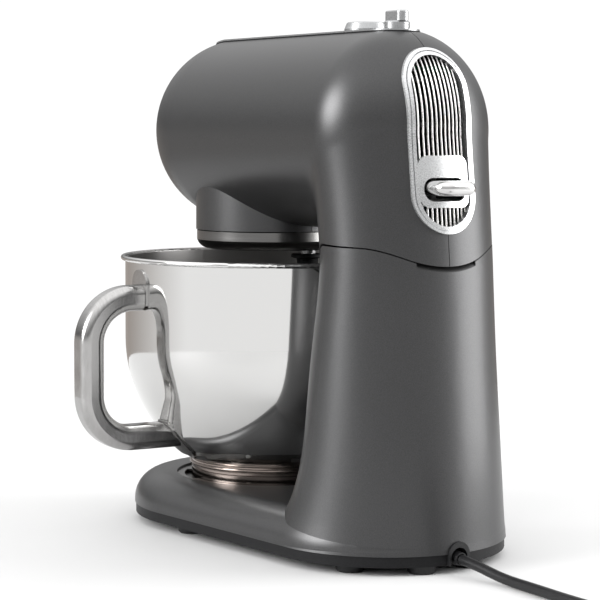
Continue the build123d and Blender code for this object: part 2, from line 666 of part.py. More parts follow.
def motor_armature():
    """Slotted armature."""
    core = tube(MOTOR_X, 0, 276, 305, 19.4, 3)
    for angle in range(0, 360, 30):
        core = core - Pos(MOTOR_X, 0, 0) * Rot(0, 0, angle) * block(13, 22, -0.8, 0.8, 270, 310)
    return core


def commutator():
    """Copper commutator above the armature."""
    return tube(MOTOR_X, 0, 309, 320, 8, 3)


def motor_pinion():
    """Ten-tooth pinion on the motor shaft."""
    return gear(MOTOR_X, 0, 253, 259, gear_face(MOTOR_TEETH, TRAIN_MODULE, 0.8, 1.0, 0.1, 18), 3)


def cooling_fan():
    """Fan on top of the motor."""
    fan = tube(0, 0, 329, 330.5, 24, 3) + tube(0, 0, 329, 336, 6, 3)
    for angle in range(0, 360, 45):
        fan = fan + Rot(0, 0, angle) * block(5.5, 23.5, -0.7, 0.7, 329, 335.5)
    return Pos(MOTOR_X, 0, 0) * fan


def idler_gears():
    """Large wheel driven by the motor and the small pinion that drives the main gear."""
    wheel = gear(IDLER_X, 0, 253, 259, gear_face(IDLER_TEETH, TRAIN_MODULE, 0.6, 1.15, 0.1, 180), 4)
    pinion = gear(IDLER_X, 0, 243.5, 250.8, gear_face(IDLER_PINION_TEETH, TRAIN_MODULE, 0.8, 1.1, 0.1, 15), 4)
    return wheel, pinion + tube(IDLER_X, 0, 250.7, 252.95, 6.5, 4)


def main_gear():
    """Large gear of the output shaft."""
    return gear(0, 0, 243.5, 250.5, gear_face(MAIN_TEETH, TRAIN_MODULE, 0.7, 1.15, 0.1, 180), 7)


def planet_hub():
    """Brushed cup under the head that carries the tool's shaft round."""
    arc_r = 9.6
    inside = [(0, 210.2), (45.5, 210.2), (53.4, 217), (53.4, HUB_TOP)]
    outline = Polyline(*inside, (HUB_R, HUB_TOP), (HUB_R, 214.5))
    under = RadiusArc((HUB_R, 214.5), (46, HUB_BOTTOM), arc_r)
    floor = Polyline((46, HUB_BOTTOM), (0, HUB_BOTTOM), (0, 210.2))
    cup = revolve(Plane.XZ * make_face(outline + under + floor), Axis.Z)
    x, y = orbit_spot()
    cup = cup + post(0, 0, 208, 224, 13) + post(x, y, 208, 224.2, 12)
    cup = cup - post(0, 0, 209, 230, 7.0) - post(x, y, 200, 230, 5.6) - post(x, y, 213, 230, 9.05)
    return cup


def output_shaft():
    """Shaft from the main gear down to the hub."""
    return post(0, 0, 209.05, 266.3, 7)


def tool_bearing():
    """Bearing of the tool's shaft in the hub."""
    x, y = orbit_spot()
    return tube(x, y, 213.05, 223.5, 9, 5 + RUN_GAP)


def planet_pinion():
    """Pinion that rolls in the ring gear."""
    x, y = orbit_spot()
    return gear(x, y, 226.5, 233.5, gear_face(PLANET_TEETH, PLANET_MODULE, 1.05, 1.45, 0.1, ORBIT_ANGLE), 5)


def tool_shaft():
    """Shaft that the whisk hangs on."""
    x, y = orbit_spot()
    return post(x, y, 192, 234.4, 5) - Pos(x, y, 205.9) * Rot(0, 90, 0) * Cylinder(1.5, 20)


def drive_pin():
    """Cross pin of the tool's shaft."""
    x, y = orbit_spot()
    return Pos(x, y, 205.9) * Rot(0, 90, 0) * Cylinder(1.45, 17)


def whisk_collar():
    """Black shield and ferrule of the whisk."""
    x, y = orbit_spot()
    shield = [(5.05, 204.2), (11.6, 204.2), (12.3, 203.4), (12.3, 201.8), (11.6, 201.2), (8.2, 200.6)]
    stem = [(7.7, 196), (8.6, 186), (8.6, 176), (0, 176), (0, 191.9), (5.05, 191.9)]
    return Pos(x, y, 0) * spun(*shield, *stem)


def whisk_wires():
    """Loops of the balloon whisk; each passes under the next."""
    x, y = orbit_spot()
    wires = []
    for k in range(WHISK_LOOPS):
        low = WHISK_LOW + 2.6 * k
        side = [(6.2, 175.9), (20, 152), (40, 118), (WHISK_R - k, 92), (32, 62 + k)]
        points = side + [(0, low)] + [(-r, z) for r, z in reversed(side)]
        path = Spline(*[(r, 0, z) for r, z in points])
        wire = sweep(Plane(origin=path @ 0, z_dir=path % 0) * Circle(1.1), path)
        wires.append(Pos(x, y, 0) * Rot(0, 0, 180 * k / WHISK_LOOPS) * wire)
    return wires


# ---------------------------------------------------------------- bowl
def bowl_envelope(radius, low, high):
    """Solid bowl of one radius, round below and straight above, cut flat at low."""
    form = Pos(0, 0, BOWL_CENTRE_Z) * Sphere(radius) + post(0, 0, BOWL_CENTRE_Z, high, radius)
    return form & post(0, 0, low, high, 200)


def bowl_shell():
    """Spun steel bowl with a rolled rim."""
    bowl = bowl_envelope(BOWL_R, BOWL_FLOOR_Z, BOWL_TOP)
    bowl = bowl + Pos(0, 0, BOWL_TOP) * Torus(BOWL_R + 1.5, BEAD_R)
    return bowl - bowl_envelope(BOWL_R - BOWL_WALL, BOWL_FLOOR_Z + BOWL_WALL, BOWL_TOP + 10)


def bowl_foot():
    """Foot ring with a bead, a groove and the three tabs that lock under the clamp."""
    r = FOOT_RING_R
    outside = [(r, FOOT_RING_LOW), (r, 41.4), (r - 0.6, 41.8), (r - 0.6, 43.4), (r, 43.8), (r, 49)]
    ring = spun((r - 1.2, FOOT_RING_LOW), *outside, (r - 1.2, 49))
    ring = ring + Pos(0, 0, 45.5) * Torus(r - 0.2, 1.5)
    ring = ring - Pos(0, 0, BOWL_CENTRE_Z) * Sphere(BOWL_R + 0.02)
    for angle in TAB_ANGLES:
        ring = ring + sector(angle, 14, r - 1, 64, FOOT_RING_LOW, 34)
    return ring


def handle_loop():
    """Bar bent into a D and trimmed to the bowl."""
    top = [(0, 80, HANDLE_HIGH), (0, HANDLE_Y, HANDLE_HIGH)]
    path = FilletPolyline(*top, (0, HANDLE_Y, HANDLE_LOW), (0, 60, HANDLE_LOW), radius=32)
    section = fillet(Rectangle(HANDLE_WIDE, HANDLE_DEEP).vertices(), 6.5)
    start = Plane(origin=path @ 0, x_dir=(1, 0, 0), z_dir=path % 0)
    bar = sweep(start * section, path)
    bar = bar - bowl_envelope(BOWL_R + 1.7, 20, 215)
    return max(bar.solids(), key=lambda solid: solid.volume)


def handle_pads():
    """Plates welded to the bowl under both ends of the handle."""
    wrap = bowl_envelope(BOWL_R + 1.6, 30, 199) - bowl_envelope(BOWL_R + 0.02, 20, 215)
    upper = Pos(0, 181) * Rectangle(23, 26)
    upper = fillet(upper.vertices().group_by(Axis.Y)[-1], 11)
    upper = Pos(0, 130, 0) * extrude(Plane.XZ * upper, 60)
    lower = fillet((Pos(0, 67) * Rectangle(25, 26)).vertices(), 5)
    lower = Pos(0, 130, 0) * extrude(Plane.XZ * lower, 90)
    return [wrap & upper, wrap & lower]


# ---------------------------------------------------------------- build
def save_base():
    """Nodes that stay on the worktop."""
    save("base_casting", base_casting())
    save("base_plate", base_plate())
    save("rubber_feet", *rubber_feet())
    save("base_screws", *base_screws())
    save("bowl_clamp", bowl_clamp())
    save("clamp_screws", *clamp_screws())
    save("hinge_pin", rod_y(HINGE_X, HINGE_Z, -57.9, 57.9, PIN_R - 0.02))
    save("latch_strike", latch_strike())
    save("cord_grommet", cord_grommet())
    save("strain_relief", strain_relief())
    save("power_cord", power_cord())
    save("cord_coil", cord_coil())
    save("plug_body", plug_body())
    save("plug_pins", *plug_pins())


def save_head():
    """Nodes that tilt with the head."""
    left, right = head_shells()
    save("head_shell_left", left)
    save("head_shell_right", right)
    save("shell_screws", *shell_screws())
    save("top_strip", top_strip())
    save("grille_frame", grille_frame())
    save("grille_slats", grille_slats())
    save("release_plate", release_plate())
    save("head_frame", head_frame())
    save("frame_screws", *frame_screws())
    save("hinge_bushes", *hinge_bushes())
    save("gear_case", gear_case())
    save("gear_cover", gear_cover())
    save("ring_gear", ring_gear())
    save("output_bearings", *output_bearings())
    save("motor_bearings", *motor_bearings())
    save("motor_housing", motor_housing())
    save("motor_stator", motor_stator())
    save("motor_brushes", *motor_brushes())
    save("control_board", control_board())
    save("speed_encoder", speed_encoder())
    save("lever_pin", lever_pin())
    save("lever_spring", lever_spring())


def save_moving():
    """Nodes that turn or slide on the head."""
    save("release_lever", release_lever())
    save("speed_dial", speed_dial())
    save("outlet_cap", outlet_cap())
    save("motor_shaft", motor_shaft())
    save("motor_armature", motor_armature())
    save("commutator", commutator())
    save("motor_pinion", motor_pinion())
    save("cooling_fan", cooling_fan())
    wheel, pinion = idler_gears()
    save("idler_shaft", post(IDLER_X, 0, 240, 262.1, 4))
    save("idler_wheel", wheel)
    save("idler_pinion", pinion)
    save("planet_hub", planet_hub())
    save("output_shaft", output_shaft())
    save("main_gear", main_gear())
    save("tool_bearing", tool_bearing())
    save("planet_pinion", planet_pinion())
    save("tool_shaft", tool_shaft())
    save("drive_pin", drive_pin())
    save("whisk_collar", whisk_collar())
    save("whisk_wires", *whisk_wires())


def save_bowl():
    """Nodes of the bowl, turned to the handle's rest direction."""
    turn = Rot(0, 0, HANDLE_TURN)
    save("bowl_shell", turn * bowl_shell())
    save("bowl_foot", turn * bowl_foot())
    save("bowl_handle", turn * handle_loop())
    save("handle_pads", *[turn * pad for pad in handle_pads()])


save_base()
save_head()
save_moving()
save_bowl()
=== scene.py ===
"""Looks of the tilt-head stand mixer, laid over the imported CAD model."""
import json
import math

import bmesh
import bpy
import numpy as np
from mathutils import Matrix, Vector


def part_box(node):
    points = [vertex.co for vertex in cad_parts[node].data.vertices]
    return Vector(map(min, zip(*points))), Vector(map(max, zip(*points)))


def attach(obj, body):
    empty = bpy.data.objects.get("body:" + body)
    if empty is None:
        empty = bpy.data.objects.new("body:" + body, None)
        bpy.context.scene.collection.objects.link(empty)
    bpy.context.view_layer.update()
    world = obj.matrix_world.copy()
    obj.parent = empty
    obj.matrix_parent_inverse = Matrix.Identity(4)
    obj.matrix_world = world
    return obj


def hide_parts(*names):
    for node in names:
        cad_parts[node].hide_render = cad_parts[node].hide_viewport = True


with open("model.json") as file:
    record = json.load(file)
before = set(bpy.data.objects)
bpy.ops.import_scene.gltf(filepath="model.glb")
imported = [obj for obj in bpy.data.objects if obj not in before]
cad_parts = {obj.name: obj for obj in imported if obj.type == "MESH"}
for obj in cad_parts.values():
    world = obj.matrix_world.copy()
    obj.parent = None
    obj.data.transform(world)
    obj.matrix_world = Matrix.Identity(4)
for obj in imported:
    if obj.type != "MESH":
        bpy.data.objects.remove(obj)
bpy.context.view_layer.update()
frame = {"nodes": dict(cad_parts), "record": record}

MM = 0.001


# ---------------------------------------------------------------- places
def middle(node):
    """Middle of a CAD node's box."""
    low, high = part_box(node)
    return (low + high) / 2


AXIS = middle("ring_gear")


def at(x, y, z):
    """Point in metres from millimetres counted from the foot of the bowl's axis."""
    return Vector((AXIS.x + x * MM, AXIS.y + y * MM, z * MM))


# ---------------------------------------------------------------- camera
CAMERA_PLACE, CAMERA_WAY = (-1278.15, 827.74, 290.73), (0.82846, -0.55423, -0.08051)
CAMERA_ROLL, CAMERA_LENS, SENSOR_WIDTH = math.radians(0.252), 120.39, 36


def make_camera():
    """Camera at the place and with the lens worked out for the photograph."""
    forward = Vector(CAMERA_WAY).normalized()
    right = forward.cross(Vector((0, 0, 1))).normalized()
    up = right.cross(forward)
    turned_right = math.cos(CAMERA_ROLL) * right + math.sin(CAMERA_ROLL) * up
    turned_up = math.cos(CAMERA_ROLL) * up - math.sin(CAMERA_ROLL) * right
    data = bpy.data.cameras.new("camera")
    data.sensor_width, data.lens = SENSOR_WIDTH, CAMERA_LENS
    data.clip_start = 0.05
    camera = bpy.data.objects.new("camera", data)
    bpy.context.scene.collection.objects.link(camera)
    turn = Matrix((turned_right, turned_up, -forward)).transposed().to_4x4()
    camera.matrix_world = Matrix.Translation(at(*CAMERA_PLACE)) @ turn
    bpy.context.scene.camera = camera


make_camera()


# ---------------------------------------------------------------- helpers for meshes
def link(name, mesh, material, body, replaced=()):
    """Put a finished mesh or curve in the scene as a piece on a body."""
    piece = bpy.data.objects.new(name, mesh)
    bpy.context.scene.collection.objects.link(piece)
    if material is not None:
        mesh.materials.clear()
        mesh.materials.append(material)
    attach(piece, body)
    if replaced:
        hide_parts(*replaced)
    return piece


def smooth(mesh, degrees=35):
    """Smooth shading with sharp edges where faces meet at more than an angle."""
    mesh.shade_smooth()
    mesh.set_sharp_from_angle(angle=math.radians(degrees))


def grid_mesh(name, rows):
    """Closed mesh through rows of points; each row is a ring of the same count."""
    count = len(rows[0])
    last = (len(rows) - 1) * count
    verts = [tuple(point) for row in rows for point in row]
    faces = []
    for start in range(0, last, count):
        for near in range(start, start + count):
            beside = start + (near - start + 1) % count
            faces.append((near, beside, beside + count, near + count))
    faces.append(tuple(reversed(range(count))))
    faces.append(tuple(range(last, last + count)))
    mesh = bpy.data.meshes.new(name)
    mesh.from_pydata(verts, [], faces)
    mesh.validate()
    return mesh


def outward(mesh):
    """Face normals pointing out."""
    work = bmesh.new()
    work.from_mesh(mesh)
    bmesh.ops.recalc_face_normals(work, faces=work.faces)
    work.to_mesh(mesh)
    work.free()
    return mesh


def add_part(work, mesh, slot):
    """Add a mesh to a growing one, all of its faces in one material slot."""
    first = len(work.faces)
    work.from_mesh(mesh)
    work.faces.ensure_lookup_table()
    for face in work.faces[first:]:
        face.material_index = slot


def prism(name, outline, low, high, axis="Y"):
    """Prism of an outline of (a, b) points in mm, along Y (a, b = X, Z) or X (a, b = Y, Z) or Z (X, Y)."""
    places = {"X": lambda a, b, c: at(c, a, b), "Y": lambda a, b, c: at(a, c, b), "Z": at}
    rows = [[places[axis](a, b, c) for a, b in outline] for c in (low, high)]
    return outward(grid_mesh(name, rows))


def combine(mesh, tools):
    """Mesh after boolean steps; tools are (operation, mesh) pairs."""
    target = bpy.data.objects.new("work", mesh)
    bpy.context.scene.collection.objects.link(target)
    for operation, tool in tools:
        other = bpy.data.objects.new("tool", tool)
        bpy.context.scene.collection.objects.link(other)
        step = target.modifiers.new("step", "BOOLEAN")
        step.operation = operation
        step.solver = "EXACT"
        step.object = other
        depsgraph = bpy.context.evaluated_depsgraph_get()
        result = bpy.data.meshes.new_from_object(target.evaluated_get(depsgraph))
        target.modifiers.clear()
        target.data = result
        bpy.data.objects.remove(other)
    result = target.data
    bpy.data.objects.remove(target)
    return result


def circle(x, y, radius, count=96):
    """Outline of a circle."""
    angles = [2 * math.pi * k / count for k in range(count)]
    return [(x + radius * math.cos(angle), y + radius * math.sin(angle)) for angle in angles]


def racetrack(half, low, high, count=24):
    """Outline of an upright slot with round ends, as (across, up) points."""
    points = []
    for middle_z, start in ((high - half, 0), (low + half, math.pi)):
        for k in range(count + 1):
            angle = start + math.pi * k / count
            points.append((half * math.cos(angle), middle_z + half * math.sin(angle)))
    return points


# ---------------------------------------------------------------- materials
def new_material(name):
    """Empty node material with its shader."""
    material = bpy.data.materials.new(name)
    material.use_nodes = True
    shader = material.node_tree.nodes["Principled BSDF"]
    return material, material.node_tree, shader


def coordinates(tree, scale=(1, 1, 1)):
    """Object coordinates through a scale."""
    source = tree.nodes.new("ShaderNodeTexCoord")
    mapping = tree.nodes.new("ShaderNodeMapping")
    mapping.inputs["Scale"].default_value = scale
    tree.links.new(source.outputs["Object"], mapping.inputs["Vector"])
    return mapping.outputs["Vector"]


def noise(tree, vector, scale, detail=4.0, rough=0.5):
    """Noise texture's factor."""
    node = tree.nodes.new("ShaderNodeTexNoise")
    node.inputs["Scale"].default_value = scale
    node.inputs["Detail"].default_value = detail
    node.inputs["Roughness"].default_value = rough
    tree.links.new(vector, node.inputs["Vector"])
    return node.outputs["Fac"]


def ramp(tree, factor, low, high, start=0.3, end=0.7):
    """Colour or grey ramp between two values."""
    node = tree.nodes.new("ShaderNodeValToRGB")
    def colour(value):
        return (*value, 1) if hasattr(value, "__len__") else (value, value, value, 1)
    node.color_ramp.elements[0].position = start
    node.color_ramp.elements[1].position = end
    node.color_ramp.elements[0].color = colour(low)
    node.color_ramp.elements[1].color = colour(high)
    tree.links.new(factor, node.inputs["Fac"])
    return node.outputs["Color"]


def bump(tree, height, strength, distance):
    """Bump from a height."""
    node = tree.nodes.new("ShaderNodeBump")
    node.inputs["Strength"].default_value = strength
    node.inputs["Distance"].default_value = distance
    tree.links.new(height, node.inputs["Height"])
    return node.outputs["Normal"]


def surface(name, low, high, metallic, rough_low, rough_high, grain, grain_scale=(1, 1, 1),
            depth=0.0, strength=0.1, fine=0.0, specular=0.5):
    """General finish: colour and roughness vary with grain, and bump has its depth in metres."""
    material, tree, shader = new_material(name)
    vector = coordinates(tree, grain_scale)
    factor = noise(tree, vector, grain)
    tree.links.new(ramp(tree, factor, low, high), shader.inputs["Base Color"])
    tree.links.new(ramp(tree, factor, rough_low, rough_high), shader.inputs["Roughness"])
    shader.inputs["Metallic"].default_value = metallic
    shader.inputs["Specular IOR Level"].default_value = specular
    if depth:
        fine_factor = noise(tree, vector, fine or grain * 4, 2.0)
        tree.links.new(bump(tree, fine_factor, strength, depth), shader.inputs["Normal"])
    return material


PAINT = surface("graphite_paint", (0.052, 0.052, 0.053),
                (0.082, 0.082, 0.083), 0.78, 0.31, 0.39, 2200, depth=0.00003, strength=0.2, fine=3200)
POLISHED = ((0.64, 0.637, 0.63), (0.68, 0.677, 0.67), 1.0, 0.06, 0.09, 40, (1, 1, 0.3))
STEEL = surface("polished_steel", *POLISHED)
BRUSHED = surface("brushed_steel", (0.40, 0.395, 0.39), (0.46, 0.455, 0.45), 1.0, 0.16, 0.22, 700,
                  (0.15, 1, 0.15), depth=0.00001, strength=0.05)
# painted shade: turned steel with its colour darkened far below that of steel, for the dark reflections on
# the hub and clamp
HUB_STEEL_AND_PAINTED_SHADE = surface("turned_steel_and_painted_shade", (0.13, 0.128, 0.125), (0.18, 0.177, 0.174), 1.0, 0.20, 0.27, 900,
                    (0.02, 0.02, 3), depth=0.00002, strength=0.12)
SLAT_STEEL = surface("slat_steel", (0.74, 0.73, 0.72), (0.80, 0.79, 0.78), 1.0, 0.14, 0.20, 300)
LEVER_STEEL = surface("lever_steel", (0.58, 0.575, 0.57), (0.64, 0.635, 0.63), 1.0, 0.14, 0.19, 500,
                      (3, 0.3, 3), depth=0.00001, strength=0.05)
FOOT_STEEL = surface("foot_steel", (0.25, 0.21, 0.19), (0.30, 0.255, 0.23), 1.0, 0.10, 0.16, 300,
                     (0.1, 0.1, 3))
STRIP_SILVER = surface("strip_silver", (0.36, 0.365, 0.37), (0.41, 0.415, 0.42), 0.85, 0.26, 0.34, 1800)
SILVER = surface("satin_silver", (0.60, 0.605, 0.61),
                 (0.70, 0.705, 0.71), 0.85, 0.24, 0.32, 1800, depth=0.00002, strength=0.12)
BLACK = surface("black_plastic", (0.005, 0.005, 0.0055),
                (0.010, 0.010, 0.011), 0.0, 0.40, 0.55, 900, depth=0.00005, strength=0.25, specular=0.18)
RUBBER = surface("black_rubber", (0.006, 0.006, 0.0065),
                 (0.012, 0.012, 0.013), 0.0, 0.36, 0.50, 700, depth=0.00005, strength=0.3, specular=0.35)
ZINC = surface("zinc_steel", (0.38, 0.38, 0.38), (0.50, 0.50, 0.49), 1.0, 0.30, 0.42, 300)
CAST = surface("cast_aluminium", (0.48, 0.48, 0.48),
               (0.60, 0.60, 0.60), 0.9, 0.45, 0.60, 500, depth=0.0001, strength=0.4)
BRONZE = surface("bronze", (0.45, 0.30, 0.14), (0.58, 0.40, 0.20), 1.0, 0.34, 0.46, 800, depth=0.00003)
GEAR = surface("gear_steel", (0.40, 0.40, 0.41), (0.54, 0.54, 0.54), 1.0, 0.24, 0.36, 500)
NYLON = surface("nylon", (0.70, 0.67, 0.58), (0.80, 0.77, 0.68), 0.0, 0.40, 0.50, 400, depth=0.00003)
LAMINATE = surface("laminations", (0.16, 0.16, 0.17), (0.30, 0.30, 0.31), 0.8, 0.35, 0.5, 300,
                   (0.05, 0.05, 8))
COPPER = surface("copper", (0.62, 0.30, 0.18), (0.78, 0.42, 0.27), 1.0, 0.25, 0.38, 300)
CARBON = surface("carbon", (0.03, 0.03, 0.03), (0.07, 0.07, 0.07), 0.0, 0.5, 0.7, 600)
BOARD = surface("circuit_board", (0.01, 0.10, 0.04), (0.02, 0.16, 0.07), 0.0, 0.25, 0.4, 250)

FINISH = {
    "graphite_paint": PAINT, "black_plastic": BLACK, "black_rubber": RUBBER, "polished_steel": STEEL,
    "brushed_steel": BRUSHED, "silver_plastic": SILVER, "screw_steel": ZINC, "cast_aluminium": CAST,
    "bronze": BRONZE, "gear_steel": GEAR, "gear_nylon": NYLON, "laminations": LAMINATE, "copper": COPPER,
    "carbon": CARBON, "board_green": BOARD,
}


BOWL_MIDDLE_Z, INSIDE_ROUGH, OUTSIDE_ROUGH = 0.26, 0.30, 0.07
# painted shade: the inside steel colour is far darker than the outside, standing in for the shade inside the
# bowl
INSIDE_STEEL_PAINTED_SHADE, OUTSIDE_STEEL = (0.24, 0.235, 0.23), (0.66, 0.657, 0.65)


def bowl_finish_and_painted_shade():
    """Mirror finish outside; inside, where the surface looks towards the axis, a softer brushed one with a
    much darker colour as painted shade.
    """
    material = surface("bowl_steel_and_painted_shade", *POLISHED)
    tree = material.node_tree
    shader = tree.nodes["Principled BSDF"]
    outward_way = tree.nodes.new("ShaderNodeTexCoord")
    centred = tree.nodes.new("ShaderNodeVectorMath")
    centred.operation = "SUBTRACT"
    centred.inputs[1].default_value = (AXIS.x, AXIS.y, BOWL_MIDDLE_Z)
    tree.links.new(outward_way.outputs["Object"], centred.inputs[0])
    facing = tree.nodes.new("ShaderNodeVectorMath")
    facing.operation = "DOT_PRODUCT"
    tree.links.new(centred.outputs["Vector"], facing.inputs[0])
    tree.links.new(outward_way.outputs["Normal"], facing.inputs[1])
    rough = ramp(tree, facing.outputs["Value"], INSIDE_ROUGH, OUTSIDE_ROUGH, 0.0, 0.01)
    tree.links.new(rough, shader.inputs["Roughness"])
    # painted shade: the colour turns dark where the surface faces the axis
    colour = ramp(tree, facing.outputs["Value"], INSIDE_STEEL_PAINTED_SHADE, OUTSIDE_STEEL, 0.0, 0.01)
    tree.links.new(colour, shader.inputs["Base Color"])
    return material


SPECIAL = {
    "bowl_shell": bowl_finish_and_painted_shade(), "bowl_foot": FOOT_STEEL, "planet_hub": HUB_STEEL_AND_PAINTED_SHADE, "bowl_clamp": HUB_STEEL_AND_PAINTED_SHADE,
    "top_strip": STRIP_SILVER, "speed_dial": STRIP_SILVER, "outlet_cap": STRIP_SILVER,
}


def finish_cad_nodes():
    """Every CAD node gets the finish of its material slot, and smooth shading."""
    for part in frame["record"]["subparts"]:
        node = frame["nodes"][part["node"]]
        material = SPECIAL.get(part["node"], FINISH[part["material_slot"]])
        node.data.materials.clear()
        node.data.materials.append(material)
        smooth(node.data, 30)


finish_cad_nodes()


# ---------------------------------------------------------------- mains lead
CORD_D = 7.0
COIL_X, COIL_Y = -430.0, -45.0
COIL_OUTER, COIL_INNER = 45.0, 31.0
COIL_LOW, COIL_HIGH = 3.8, 10.8
COIL_TURNS, CLIMB_START, CLIMB_END = 3.6, 2.0, 2.2
POINTS_PER_TURN = 24


def cord_points():
    """Route of the lead, its coil and the end that rises to the plug, in mm."""
    route = [
        (-213.0, 0.0, 10.0),
        (-237.0, 0.0, 10.0),
        (-257.0, -0.8, 7.6),
        (-280.0, -2.0, 3.8),
        (-310.0, -1.0, 3.8),
        (-344.0, 1.6, 3.8),
        (-376.0, 1.8, 3.8),
        (-404.0, 0.0, 3.8),
    ]
    for k in range(1, int(COIL_TURNS * POINTS_PER_TURN) + 1):
        turns = k / POINTS_PER_TURN
        angle = math.radians(90 + 360 * turns)
        if turns < CLIMB_START:
            radius, height = COIL_OUTER - CORD_D * turns, COIL_LOW
        elif turns < CLIMB_END:
            share = (turns - CLIMB_START) / (CLIMB_END - CLIMB_START)
            radius, height = COIL_INNER, COIL_LOW + share * (COIL_HIGH - COIL_LOW)
        else:
            radius, height = COIL_INNER + CORD_D * (turns - CLIMB_END), COIL_HIGH
        route.append((COIL_X + radius * math.cos(angle), COIL_Y + radius * math.sin(angle), height))
    rise = [(43, -14, 14), (45, 6, 21), (36, 24, 28), (22, 30, 33), (8, 30, 33.1)]
    return route + [(COIL_X + x, COIL_Y + y, z) for x, y, z in rise]


def make_cord():
    """Lead as one smooth round curve."""
    data = bpy.data.curves.new("lead", "CURVE")
    data.dimensions = "3D"
    spline = data.splines.new("NURBS")
    points = cord_points()
    spline.points.add(len(points) - 1)
    for point, place in zip(spline.points, points):
        point.co = (*at(*place), 1)
    spline.order_u = 3
    spline.use_endpoint_u = True
    spline.resolution_u = 4
    data.bevel_depth = CORD_D / 2 * MM
    data.bevel_resolution = 5
    data.use_fill_caps = True
    cord = link("mains_lead", data, RUBBER, "base", ("power_cord", "cord_coil"))


make_cord()


# ---------------------------------------------------------------- painted head
HEAD_R, HEAD_Z = 70.0, 296.0
NOSE_X, TAIL_X, TAIL_LENGTH = 33.0, -160.0, 51.0
FAN_X, FAN_Z = -150.0, 282.0
TOP_Z = 363.4
BLEND = 26.0
SKIN, SKIN_BOTTOM, RAY_LENGTH = 3.0, 172.0, 190.0
COLLAR_R, COLLAR_LOW, COLLAR_HIGH = 56.3, 222, 256
DIAL_X, DIAL_HOLE, CAP_X, CAP_HOLE = -159, 3.6, -123, 9.4
BEHIND, AHEAD, ABOVE, BESIDE = -260, 120, 400, 90
# neck: height, middle, reach to the rear, half width, reach to the front, as the CAD's column
NECK = np.array([
    (154.6, -170.0, 53.9, 68.6, 47.5),
    (201.7, -173.0, 48.0, 65.5, 46.5),
    (248.9, -168.0, 48.6, 66.0, 46.0),
    (HEAD_Z, -160.0, 51.0, 69.5, 44.0),
])
NECK_CURVES = [np.polyfit(NECK[:, 0], NECK[:, k], 3) for k in range(1, 5)]


def unit(x, y, z):
    """Vectors at length one."""
    length = np.sqrt(x * x + y * y + z * z) + 1e-9
    return x / length, y / length, z / length


def head_depth(x, y, z, inset):
    """Below 0 inside the head; barrel and neck are blended where they meet at an angle."""
    back = np.minimum(x - TAIL_X, 0) * HEAD_R / TAIL_LENGTH
    ahead = np.maximum(x - NOSE_X, 0)
    barrel = np.sqrt((ahead + back) ** 2 + y * y + (z - HEAD_Z) ** 2) - (HEAD_R - inset)
    barrel_way = unit(ahead + back, y, z - HEAD_Z)
    level = np.clip(z, NECK[0, 0], HEAD_Z)
    centre, rear, half, front = (np.polyval(curve, level) for curve in NECK_CURVES)
    reach = np.where(x < centre, rear, front) - inset
    half = half - inset
    ratio = np.sqrt(((x - centre) / reach) ** 2 + (y / half) ** 2)
    slope = np.sqrt(((x - centre) / reach**2) ** 2 + (y / half**2) ** 2) / (ratio + 1e-9)
    neck = np.maximum((ratio - 1) / (slope + 1e-9), z - HEAD_Z)
    neck_way = unit((x - centre) / reach**2, y / half**2, 0 * z)
    turn = sum(a * b for a, b in zip(barrel_way, neck_way))
    width = BLEND * np.clip(1 - turn, 0.02, 1)
    share = np.maximum(width - np.abs(barrel - neck), 0) / width
    form = np.minimum(barrel, neck) - share**3 * width / 6
    return np.maximum(form, SKIN_BOTTOM - 4 * inset - z)


def head_rays():
    """Start points and directions of rows of rays: nose fan, barrel, tail fan."""
    around = 2 * np.pi * np.arange(264) / 264
    rows = []
    for angle in np.radians(np.arange(1.5, 90, 1.9)):
        rows.append(((NOSE_X, HEAD_Z), (math.cos(angle), math.sin(angle))))
    steps = 74
    for k in range(steps + 1):
        share = k / steps
        rows.append(((NOSE_X + share * (FAN_X - NOSE_X), HEAD_Z + share * (FAN_Z - HEAD_Z)), (0.0, 1.0)))
    for angle in np.radians(np.arange(1.6, 89.5, 1.6)):
        rows.append(((FAN_X, FAN_Z), (-math.sin(angle), math.cos(angle))))
    return rows, around


def head_solid(name, inset):
    """Closed mesh of the head, found along rays from its middle line."""
    rows, around = head_rays()
    rings = []
    for (start_x, start_z), (along, across) in rows:
        step = (along + 0 * around, across * np.sin(around), across * np.cos(around))
        near, far = np.zeros_like(around), np.full_like(around, RAY_LENGTH)
        for _ in range(32):
            mid = (near + far) / 2
            inside = head_depth(start_x + mid * step[0], mid * step[1], start_z + mid * step[2], inset) < 0
            near, far = np.where(inside, mid, near), np.where(inside, far, mid)
        rings.append([at(start_x + r * a, r * b, start_z + r * c) for r, a, b, c in zip(near, *step)])
    return outward(grid_mesh(name, rings))


HINGE_X, HINGE_Z, SEAM_R, CREST_AHEAD = -190.0, 149.0, 75.0, 27
SHOULDER_X, SHOULDER_Z, SHOULDER_R = -206.5, 217.2, 30
SEAM_REAR, SEAM_FALL, SEAM_FOOT, SEAM_GAP = -262, 0.9, 100, 0.9


def seam_outline(gap):
    """Outline, in X and Z, of everything below the seam, as in the CAD."""
    radius, shoulder = SEAM_R + gap, (SHOULDER_X, SHOULDER_Z + gap)
    rear = (SEAM_REAR, shoulder[1] - SEAM_FALL * (SHOULDER_X - SEAM_REAR))
    points = [(SEAM_REAR, SEAM_FOOT), rear]
    points += round_corner(rear, shoulder, (-50, shoulder[1] + 4.4), SHOULDER_R)
    crest = math.acos(CREST_AHEAD / radius)
    for k in range(41):
        angle = crest * (1 - k / 40)
        points.append((HINGE_X + radius * math.cos(angle), HINGE_Z + radius * math.sin(angle)))
    return points + [(HINGE_X + radius, SEAM_FOOT)]


